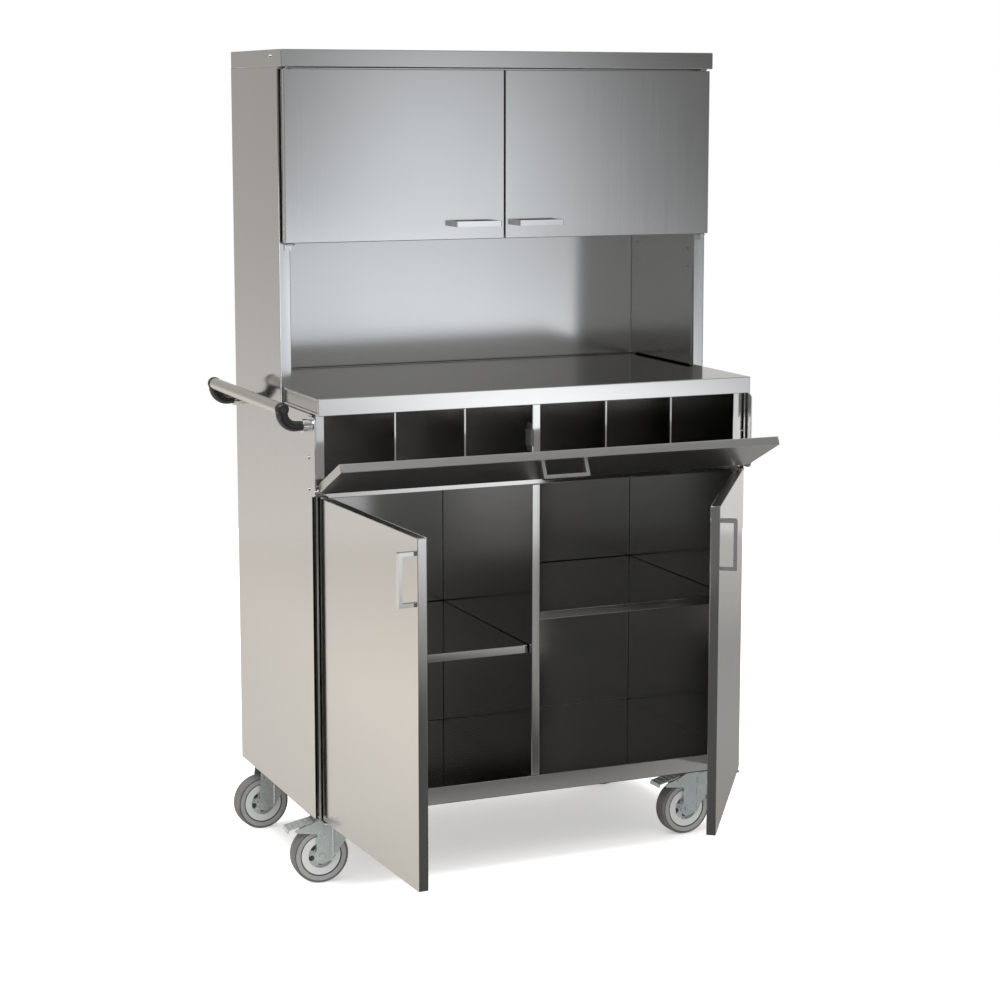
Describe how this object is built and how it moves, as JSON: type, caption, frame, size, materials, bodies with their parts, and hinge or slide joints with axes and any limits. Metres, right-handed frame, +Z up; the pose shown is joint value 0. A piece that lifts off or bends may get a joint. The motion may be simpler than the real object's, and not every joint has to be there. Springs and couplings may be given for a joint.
{
  "type": "waiter service station",
  "caption": "Stainless service trolley on castors: cupboard with doors, pigeonholes behind a drop-down flap, worktop, niche and upper cabinet.",
  "frame": {"origin": "on the floor, under the middle of the body's footprint", "axes": "+Z up, -Y out of the front, +X to the user's right when facing the front"},
  "size_m": [1.1197, 1.0488, 1.79],
  "materials": {
    "stainless_sheet": "satin brushed",
    "stainless_tube": "polished",
    "bright_steel": "polished",
    "core_board": "raw board",
    "catch_plastic": "matt",
    "dark_plastic": "semi-matt",
    "chrome": "polished",
    "zinc_steel": "zinc plated",
    "hub_plastic": "moulded",
    "grey_rubber": "matt"
  },
  "bodies": {
    "carcass": {"side_panel_left": "stainless_sheet", "side_panel_right": "stainless_sheet", "back_panel": "stainless_sheet", "inner_backs": "stainless_sheet", "wall_liners": "stainless_sheet", "rear_posts": "stainless_sheet", "front_posts": "stainless_sheet", "base_tray": "stainless_sheet", "base_channels": "stainless_sheet", "centre_partitions": "stainless_sheet", "pigeonhole_dividers": "stainless_sheet", "compartment_floor": "stainless_sheet", "worktop": "stainless_sheet", "worktop_core": "core_board", "top_cap": "stainless_sheet", "cabinet_decks": "stainless_sheet", "shelves": "stainless_sheet", "shelf_pins": "bright_steel", "hinge_cheeks": "stainless_sheet", "flap_pins": "bright_steel", "door_brackets": "bright_steel", "flap_catch": "catch_plastic", "fasteners": "bright_steel", "push_tube": "stainless_tube", "handle_elbows": "dark_plastic", "handle_collars": "chrome", "castor_plates": "zinc_steel"},
    "lower_left_door": {"lower_left_door_pan": "stainless_sheet", "lower_left_door_panel": "stainless_sheet", "lower_left_door_handle": "bright_steel"},
    "lower_right_door": {"lower_right_door_pan": "stainless_sheet", "lower_right_door_panel": "stainless_sheet", "lower_right_door_handle": "bright_steel"},
    "upper_left_door": {"upper_left_door_pan": "stainless_sheet", "upper_left_door_panel": "stainless_sheet", "upper_left_door_handle": "bright_steel"},
    "upper_right_door": {"upper_right_door_pan": "stainless_sheet", "upper_right_door_panel": "stainless_sheet", "upper_right_door_handle": "bright_steel"},
    "flap": {"flap_shell": "stainless_sheet", "flap_ends": "stainless_sheet", "flap_handle": "bright_steel"},
    "castor_fl_swivel": {"castor_fl_fork": "zinc_steel", "castor_fl_pins": "zinc_steel"},
    "castor_fl_wheel": {"castor_fl_hub": "hub_plastic", "castor_fl_tyre": "grey_rubber"},
    "castor_fr_swivel": {"castor_fr_fork": "zinc_steel", "castor_fr_pins": "zinc_steel"},
    "castor_fr_wheel": {"castor_fr_hub": "hub_plastic", "castor_fr_tyre": "grey_rubber"},
    "castor_rl_swivel": {"castor_rl_fork": "zinc_steel", "castor_rl_pins": "zinc_steel"},
    "castor_rl_wheel": {"castor_rl_hub": "hub_plastic", "castor_rl_tyre": "grey_rubber"},
    "castor_rr_swivel": {"castor_rr_fork": "zinc_steel", "castor_rr_pins": "zinc_steel"},
    "castor_rr_wheel": {"castor_rr_hub": "hub_plastic", "castor_rr_tyre": "grey_rubber"},
    "castor_fl_brake": {"castor_fl_pedal": "zinc_steel"},
    "castor_fr_brake": {"castor_fr_pedal": "zinc_steel"}
  },
  "joints": [
    {"name": "lower_left_door_hinge", "type": "hinge", "parent": "carcass", "child": "lower_left_door", "pos_m": [-0.496, -0.272, 0.157], "axis": [0, 0, -1], "range_deg": [-87.6, 22.4]},
    {"name": "lower_right_door_hinge", "type": "hinge", "parent": "carcass", "child": "lower_right_door", "pos_m": [0.496, -0.272, 0.157], "axis": [0, 0, 1], "range_deg": [-55.5, 54.5]},
    {"name": "upper_left_door_hinge", "type": "hinge", "parent": "carcass", "child": "upper_left_door", "pos_m": [-0.496, -0.071, 1.38], "axis": [0, 0, -1], "range_deg": [0, 110]},
    {"name": "upper_right_door_hinge", "type": "hinge", "parent": "carcass", "child": "upper_right_door", "pos_m": [0.496, -0.071, 1.38], "axis": [0, 0, 1], "range_deg": [0, 110]},
    {"name": "flap_hinge", "type": "hinge", "parent": "carcass", "child": "flap", "pos_m": [0, -0.2778, 0.8746], "axis": [1, 0, 0], "range_deg": [-65, 0]},
    {"name": "castor_fl_swivel", "type": "hinge", "parent": "carcass", "child": "castor_fl_swivel", "pos_m": [-0.444, -0.192, 0.146], "axis": [0, 0, 1], "continuous": true},
    {"name": "castor_fl_axle", "type": "hinge", "parent": "castor_fl_swivel", "child": "castor_fl_wheel", "pos_m": [-0.48893, -0.18941, 0.0625], "axis": [0.0576, 0.9983, 0], "continuous": true},
    {"name": "castor_fl_brake", "type": "hinge", "parent": "castor_fl_swivel", "child": "castor_fl_brake", "pos_m": [-0.51388, -0.18797, 0.13], "axis": [-0.0576, -0.9983, 0], "range_deg": [0, 12]},
    {"name": "castor_fr_swivel", "type": "hinge", "parent": "carcass", "child": "castor_fr_swivel", "pos_m": [0.444, -0.192, 0.146], "axis": [0, 0, 1], "continuous": true},
    {"name": "castor_fr_axle", "type": "hinge", "parent": "castor_fr_swivel", "child": "castor_fr_wheel", "pos_m": [0.39906, -0.19436, 0.0625], "axis": [-0.0523, 0.9986, 0], "continuous": true},
    {"name": "castor_fr_brake", "type": "hinge", "parent": "castor_fr_swivel", "child": "castor_fr_brake", "pos_m": [0.3741, -0.19566, 0.13], "axis": [0.0523, -0.9986, 0], "range_deg": [0, 12]},
    {"name": "castor_rl_swivel", "type": "hinge", "parent": "carcass", "child": "castor_rl_swivel", "pos_m": [-0.444, 0.231, 0.146], "axis": [0, 0, 1], "continuous": true},
    {"name": "castor_rl_axle", "type": "hinge", "parent": "castor_rl_swivel", "child": "castor_rl_wheel", "pos_m": [-0.48896, 0.22904, 0.0625], "axis": [-0.0436, 0.999, 0], "continuous": true},
    {"name": "castor_rr_swivel", "type": "hinge", "parent": "carcass", "child": "castor_rr_swivel", "pos_m": [0.444, 0.231, 0.146], "axis": [0, 0, 1], "continuous": true},
    {"name": "castor_rr_axle", "type": "hinge", "parent": "castor_rr_swivel", "child": "castor_rr_wheel", "pos_m": [0.39903, 0.23257, 0.0625], "axis": [0.0349, 0.9994, 0], "continuous": true}
  ]
}
